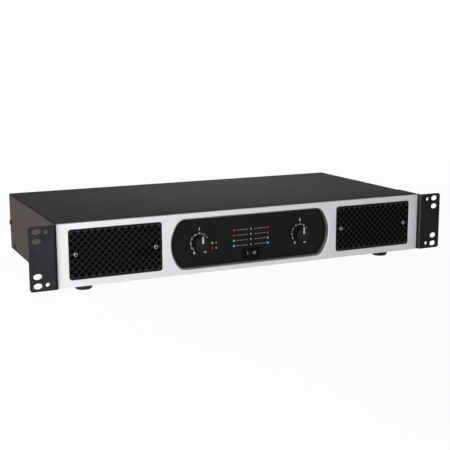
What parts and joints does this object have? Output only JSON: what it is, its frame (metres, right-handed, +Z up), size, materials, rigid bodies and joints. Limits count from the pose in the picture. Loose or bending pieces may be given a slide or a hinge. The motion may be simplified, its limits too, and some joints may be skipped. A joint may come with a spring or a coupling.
{
  "type": "power amplifier",
  "caption": "Low rack-mount stereo power amplifier with a silver front panel, diamond-mesh air inlets, recessed control window, black rack ears and a row of rear connectors between fans.",
  "frame": {"origin": "under the middle of the body, on the plane of the feet, midway between the ear faces and the rearmost latch", "axes": "+X to the right as seen from the front, +Y towards the rear panel, +Z up"},
  "size_m": [0.4826, 0.222, 0.074],
  "materials": {
    "satin_silver": "satin anodised, machined edges rounded",
    "charcoal_case_paint": "fine textured charcoal paint",
    "zinc_plated_steel": "zinc plated sheet",
    "black_painted_steel": "satin black paint",
    "bright_screw": "bright nickel plate",
    "black_filter_foam": "open-cell black foam",
    "black_rubber": "matt black rubber",
    "green_lens": "clear green lens",
    "blue_lens": "clear blue lens",
    "lime_lens": "clear yellow-green lens",
    "red_lens": "clear red lens",
    "board_green": "green solder mask",
    "heat_sink_aluminium": "plain extruded aluminium",
    "ferrite": "dark grey ferrite",
    "winding_tape": "yellow winding tape",
    "capacitor_sleeve": "dark blue sleeve",
    "ribbon_grey": "grey ribbon cable",
    "black_plastic": "satin black moulding"
  },
  "bodies": {
    "chassis": {"chassis_tray": "zinc_plated_steel", "control_board": "board_green", "control_plate": "black_plastic", "foot_front_left": "black_rubber", "foot_front_right": "black_rubber", "foot_rear_left": "black_rubber", "foot_rear_right": "black_rubber", "front_bulkhead": "zinc_plated_steel", "front_panel": "satin_silver", "led_bridge": "red_lens", "led_clip_1": "red_lens", "led_clip_2": "red_lens", "led_parallel": "lime_lens", "led_power_1": "blue_lens", "led_power_2": "blue_lens", "led_protect_1": "red_lens", "led_protect_2": "red_lens", "led_signal_1": "green_lens", "led_signal_2": "green_lens", "left_fan_frame": "black_plastic", "left_filter": "black_filter_foam", "left_filter_capacitor": "capacitor_sleeve", "left_grille": "black_painted_steel", "left_grille_screw_inner": "bright_screw", "left_grille_screw_outer": "bright_screw", "left_heat_sink": "heat_sink_aluminium", "left_rack_ear": "black_painted_steel", "main_board": "board_green", "mains_inlet": "black_plastic", "mode_switch_body": "zinc_plated_steel", "pot_1": "zinc_plated_steel", "pot_2": "zinc_plated_steel", "power_switch_body": "black_plastic", "rear_panel": "charcoal_case_paint", "ribbon_cable": "ribbon_grey", "right_fan_frame": "black_plastic", "right_filter": "black_filter_foam", "right_filter_capacitor": "capacitor_sleeve", "right_grille": "black_painted_steel", "right_grille_screw_inner": "bright_screw", "right_grille_screw_outer": "bright_screw", "right_heat_sink": "heat_sink_aluminium", "right_rack_ear": "black_painted_steel", "speaker_output_1": "black_plastic", "speaker_output_2": "black_plastic", "top_cover": "charcoal_case_paint", "transformer_core": "ferrite", "transformer_winding": "winding_tape", "xlr_input_1": "black_plastic", "xlr_input_2": "black_plastic"},
    "knob_1": {"knob_1": "black_plastic", "pot_shaft_1": "zinc_plated_steel"},
    "knob_2": {"knob_2": "black_plastic", "pot_shaft_2": "zinc_plated_steel"},
    "power_rocker": {"power_rocker": "black_plastic"},
    "left_fan_rotor": {"left_fan_rotor": "black_plastic"},
    "right_fan_rotor": {"right_fan_rotor": "black_plastic"},
    "xlr_latch_1": {"xlr_latch_1": "zinc_plated_steel"},
    "xlr_latch_2": {"xlr_latch_2": "zinc_plated_steel"},
    "mode_switch_slider": {"mode_switch_slider": "black_plastic"}
  },
  "joints": [
    {"name": "knob_1_turn", "type": "hinge", "parent": "chassis", "child": "knob_1", "pos_m": [-0.06, -0.1055, 0.0401], "axis": [0, 1, 0], "range_deg": [-150, 150]},
    {"name": "knob_2_turn", "type": "hinge", "parent": "chassis", "child": "knob_2", "pos_m": [0.06, -0.1055, 0.0401], "axis": [0, 1, 0], "range_deg": [-150, 150]},
    {"name": "power_rocker_tip", "type": "hinge", "parent": "chassis", "child": "power_rocker", "pos_m": [0, -0.0993, 0.0239], "axis": [0, 0, 1], "range_deg": [0, 18]},
    {"name": "left_fan_spin", "type": "hinge", "parent": "chassis", "child": "left_fan_rotor", "pos_m": [-0.165, 0.097, 0.0415], "axis": [0, 1, 0], "continuous": true},
    {"name": "right_fan_spin", "type": "hinge", "parent": "chassis", "child": "right_fan_rotor", "pos_m": [0.165, 0.097, 0.0415], "axis": [0, 1, 0], "continuous": true},
    {"name": "xlr_latch_1_press", "type": "slide", "parent": "chassis", "child": "xlr_latch_1", "axis": [0, -1, 0], "range_m": [0, 0.002], "stiffness_N_per_m": 400},
    {"name": "xlr_latch_2_press", "type": "slide", "parent": "chassis", "child": "xlr_latch_2", "axis": [0, -1, 0], "range_m": [0, 0.002], "stiffness_N_per_m": 400},
    {"name": "mode_switch_slide", "type": "slide", "parent": "chassis", "child": "mode_switch_slider", "axis": [1, 0, 0], "range_m": [-0.002, 0.002]}
  ]
}
